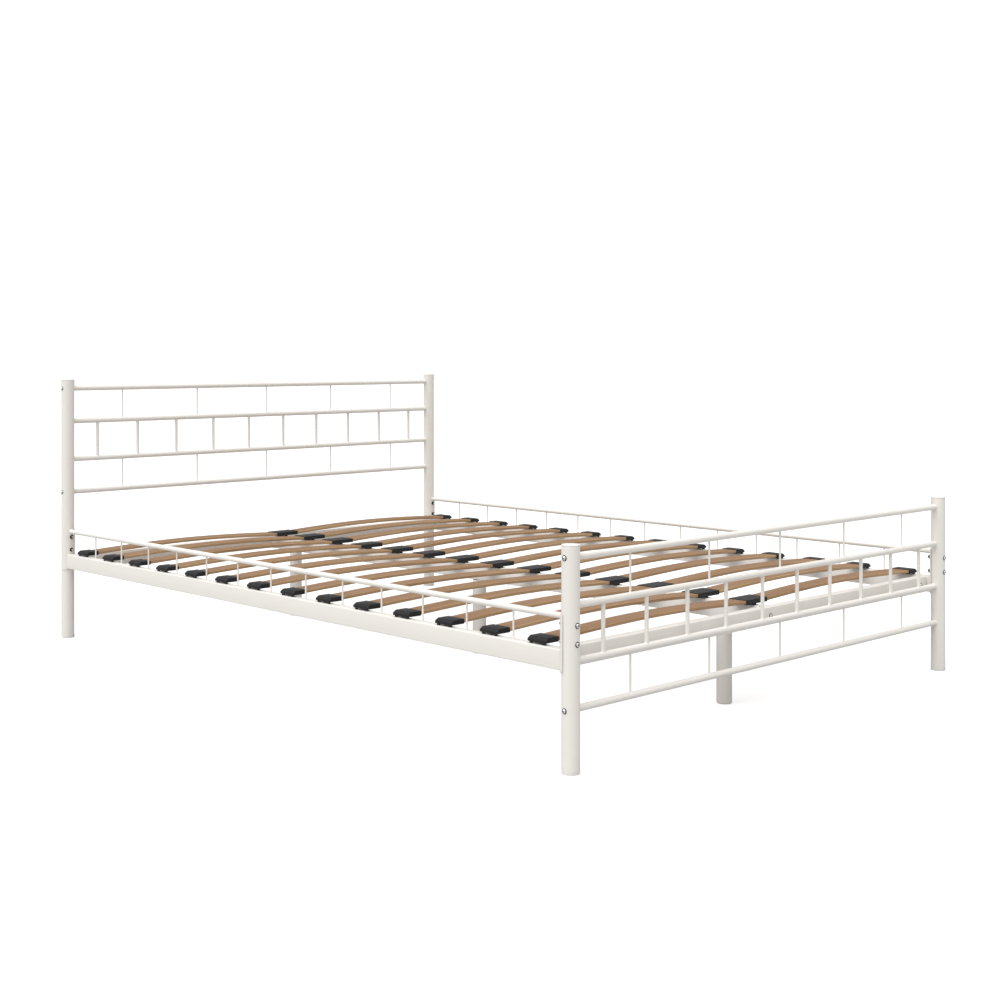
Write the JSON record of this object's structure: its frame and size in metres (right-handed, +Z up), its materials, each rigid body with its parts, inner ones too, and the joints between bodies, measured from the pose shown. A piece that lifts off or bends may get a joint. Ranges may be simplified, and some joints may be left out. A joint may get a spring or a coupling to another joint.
{
  "type": "metal bed frame",
  "caption": "Cream powder-coated metal double bed frame with round posts, barred head and foot panels, side guard rails and sprung wooden slats on a centre beam.",
  "frame": {"origin": "on the floor, under the middle of the overall box", "axes": "+Y from the foot end to the head end, +X to the right seen from the foot end, +Z up"},
  "size_m": [1.4854, 2.1004, 0.769],
  "materials": {
    "frame_powder_coat": "satin cream powder coat",
    "cap_plastic": "smooth cream plastic",
    "slat_wood": "lacquered bent beech",
    "holder_plastic": "matt black plastic",
    "bolt_steel": "zinc-plated steel"
  },
  "bodies": {
    "root": {"post_foot_left": "frame_powder_coat", "cap_foot_left": "cap_plastic", "glide_foot_left": "cap_plastic", "post_foot_right": "frame_powder_coat", "cap_foot_right": "cap_plastic", "glide_foot_right": "cap_plastic", "post_head_left": "frame_powder_coat", "cap_head_left": "cap_plastic", "glide_head_left": "cap_plastic", "post_head_right": "frame_powder_coat", "cap_head_right": "cap_plastic", "glide_head_right": "cap_plastic", "foot_rail_1": "frame_powder_coat", "head_rail_1": "frame_powder_coat", "foot_rail_2": "frame_powder_coat", "head_rail_2": "frame_powder_coat", "foot_rail_3": "frame_powder_coat", "head_rail_3": "frame_powder_coat", "foot_rail_4": "frame_powder_coat", "head_rail_4": "frame_powder_coat", "side_beam_left": "frame_powder_coat", "guard_rail_left": "frame_powder_coat", "side_beam_right": "frame_powder_coat", "guard_rail_right": "frame_powder_coat", "cross_beam_foot": "frame_powder_coat", "cross_beam_head": "frame_powder_coat", "centre_beam": "frame_powder_coat", "centre_leg_foot": "frame_powder_coat", "centre_leg_middle": "frame_powder_coat", "centre_leg_head": "frame_powder_coat", "slat_left_01": "slat_wood", "slat_left_02": "slat_wood", "slat_left_03": "slat_wood", "slat_left_04": "slat_wood", "slat_left_05": "slat_wood", "slat_left_06": "slat_wood", "slat_left_07": "slat_wood", "slat_left_08": "slat_wood", "slat_left_09": "slat_wood", "slat_left_10": "slat_wood", "slat_left_11": "slat_wood", "slat_left_12": "slat_wood", "slat_left_13": "slat_wood", "slat_left_14": "slat_wood", "slat_right_01": "slat_wood", "slat_right_02": "slat_wood", "slat_right_03": "slat_wood", "slat_right_04": "slat_wood", "slat_right_05": "slat_wood", "slat_right_06": "slat_wood", "slat_right_07": "slat_wood", "slat_right_08": "slat_wood", "slat_right_09": "slat_wood", "slat_right_10": "slat_wood", "slat_right_11": "slat_wood", "slat_right_12": "slat_wood", "slat_right_13": "slat_wood", "slat_right_14": "slat_wood"}
  },
  "joints": []
}
